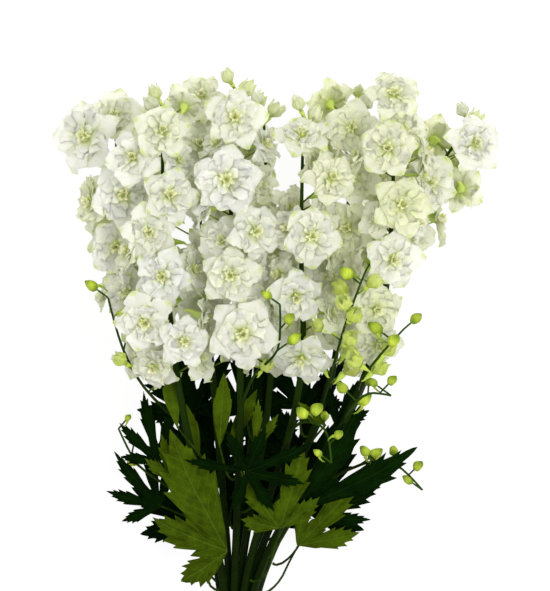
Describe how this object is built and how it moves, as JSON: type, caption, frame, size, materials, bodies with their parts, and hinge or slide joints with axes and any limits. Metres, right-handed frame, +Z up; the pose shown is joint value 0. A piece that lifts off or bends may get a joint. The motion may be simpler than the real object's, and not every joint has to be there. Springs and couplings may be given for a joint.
{
  "type": "tied bunch of cut white delphinium flower spikes",
  "caption": "Tied bunch of cut white delphinium spikes with toothed leaves and budded side shoots, laid on its back.",
  "frame": {"origin": "middle of the underside of the bunch's box, on the surface that it lies on", "axes": "+X across the bunch, +Y from the cut ends to the flower tips, +Z up from the surface"},
  "size_m": [0.4, 0.6164, 0.2076],
  "materials": {
    "petal": "satin",
    "stem": "satin",
    "olive_leaf": "satin",
    "dark_leaf": "satin",
    "tie": "matte"
  },
  "bodies": {
    "root": {"spike_far_left": "petal", "spike_left": "petal", "spike_centre_left": "petal", "spike_centre": "petal", "spike_notch": "petal", "spike_right_inner": "petal", "spike_right": "petal", "spike_right_outer": "petal", "spike_far_right": "petal", "spike_rear_left": "petal", "spike_rear_centre": "petal", "spike_rear_right": "petal", "stem_far_left": "stem", "stem_left": "stem", "stem_centre_left": "stem", "stem_centre": "stem", "stem_notch": "stem", "stem_right_inner": "stem", "stem_right": "stem", "stem_right_outer": "stem", "stem_far_right": "stem", "stem_rear_left": "stem", "stem_rear_centre": "stem", "stem_rear_right": "stem", "leaf_front_left": "olive_leaf", "leaf_olive_centre": "olive_leaf", "leaf_olive_right": "olive_leaf", "leaf_lance_left": "olive_leaf", "leaf_lance_narrow": "olive_leaf", "leaf_lance_centre": "olive_leaf", "leaf_lance_slant": "olive_leaf", "leaf_forked_small": "olive_leaf", "leaf_olive_left": "olive_leaf", "leaf_olive_high_right": "olive_leaf", "leaf_dark_star": "dark_leaf", "leaf_dark_right": "dark_leaf", "leaf_dark_left_high": "dark_leaf", "leaf_dark_left_low": "dark_leaf", "leaf_dark_right_low": "dark_leaf", "leaf_right_high": "dark_leaf", "leaf_inner_left": "dark_leaf", "leaf_inner_centre": "dark_leaf", "leaf_inner_right": "dark_leaf", "leaf_deep_left": "dark_leaf", "leaf_deep_centre": "dark_leaf", "leaf_deep_right": "dark_leaf", "leaf_rear_left_wide": "dark_leaf", "leaf_rear_centre_wide": "dark_leaf", "leaf_rear_right_wide": "dark_leaf", "tie": "tie"}
  },
  "joints": []
}
